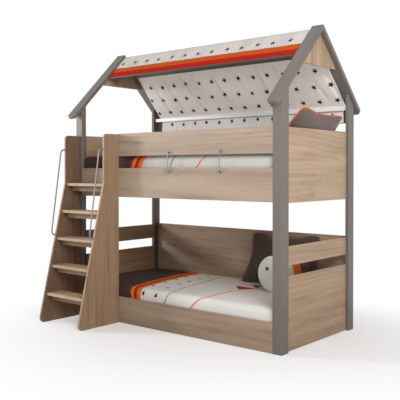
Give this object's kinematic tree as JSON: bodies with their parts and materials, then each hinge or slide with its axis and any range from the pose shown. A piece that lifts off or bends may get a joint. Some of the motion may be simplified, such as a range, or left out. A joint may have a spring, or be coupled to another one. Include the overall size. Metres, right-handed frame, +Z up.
{
  "type": "bunk bed",
  "caption": "House-shaped wooden bunk bed with two made beds, an open-tread stair, a rafter roof with a cloth canopy, guard boards and loose cushions.",
  "frame": {"origin": "centre of the footprint of the whole bed with its stair and roof, on the floor", "axes": "+X along the bed towards the end away from the stair, +Y from the open front towards the wall side, +Z up"},
  "size_m": [2.124, 1.5088, 2.2648],
  "materials": {
    "oak": "matt oak-grained board, light",
    "oak_lower": "matt oak-grained board, in shade",
    "white_rail": "white paint",
    "steel_tube": "satin round bar",
    "bright_steel": "bright plated",
    "dark_steel": "dark fixing heads",
    "cotton": "off-white cotton with dark stars and orange edging",
    "ticking": "plain woven mattress cover",
    "bed_cotton": "cotton bedspread with bands of stars and colour",
    "brown_cord": "ribbed dark brown cloth",
    "taupe_cloth": "plain taupe cloth with orange piping",
    "orange_cloth": "white, orange and brown cloth sewn end to end"
  },
  "bodies": {
    "frame": {"canopy_cloth": "cotton", "canopy_valance": "cotton", "eave_board": "oak", "eave_rail": "white_rail", "gable_left": "oak", "gable_right": "oak", "handrail_left": "steel_tube", "handrail_right": "steel_tube", "handrail_screw_left_bottom": "dark_steel", "handrail_screw_left_top": "dark_steel", "handrail_screw_right_bottom": "dark_steel", "handrail_screw_right_top": "dark_steel", "lower_back_panel": "oak_lower", "lower_duvet": "bed_cotton", "lower_end_left": "oak_lower", "lower_end_right": "oak_lower", "lower_end_slat_left": "oak_lower", "lower_end_slat_right": "oak_lower", "lower_mattress": "ticking", "lower_rail_front": "oak_lower", "lower_slat_base": "oak_lower", "post_front_left": "oak", "post_front_right": "oak", "post_rear_left": "oak", "post_rear_right": "oak", "purlin_front": "oak", "purlin_rear": "oak", "rafter_front_left": "oak", "rafter_front_right": "oak", "rafter_rear_left": "oak", "rafter_rear_right": "oak", "stair_apron_1": "oak", "stair_apron_2": "oak", "stair_apron_3": "oak", "stair_apron_4": "oak", "stair_apron_5": "oak", "stair_bolt_left_front": "dark_steel", "stair_bolt_left_rear": "dark_steel", "stair_bolt_right_front": "dark_steel", "stair_bolt_right_rear": "dark_steel", "stair_side_left": "oak_lower", "stair_side_right": "oak_lower", "stair_tread_1": "oak", "stair_tread_2": "oak", "stair_tread_3": "oak", "stair_tread_4": "oak", "stair_tread_5": "oak", "tie_rod_left": "bright_steel", "tie_rod_right": "bright_steel", "upper_back_panel": "oak", "upper_duvet": "bed_cotton", "upper_end_left": "oak", "upper_end_right": "oak", "upper_guard_front": "oak", "upper_mattress": "ticking", "upper_rail_front": "oak", "upper_slat_base": "oak_lower"},
    "lower_pillow": {"lower_pillow": "brown_cord"},
    "upper_pillow": {"upper_pillow": "taupe_cloth"},
    "bolster": {"bolster": "orange_cloth"}
  },
  "joints": [
    {"name": "lower_pillow_lift", "type": "slide", "parent": "frame", "child": "lower_pillow", "axis": [0, 0, 1], "range_m": [0, 0.25]},
    {"name": "bolster_lift", "type": "slide", "parent": "frame", "child": "bolster", "axis": [0, 0, 1], "range_m": [0, 0.25]},
    {"name": "upper_pillow_draw", "type": "slide", "parent": "frame", "child": "upper_pillow", "axis": [-0.9806, 0, 0.1961], "range_m": [0, 0.3]}
  ]
}
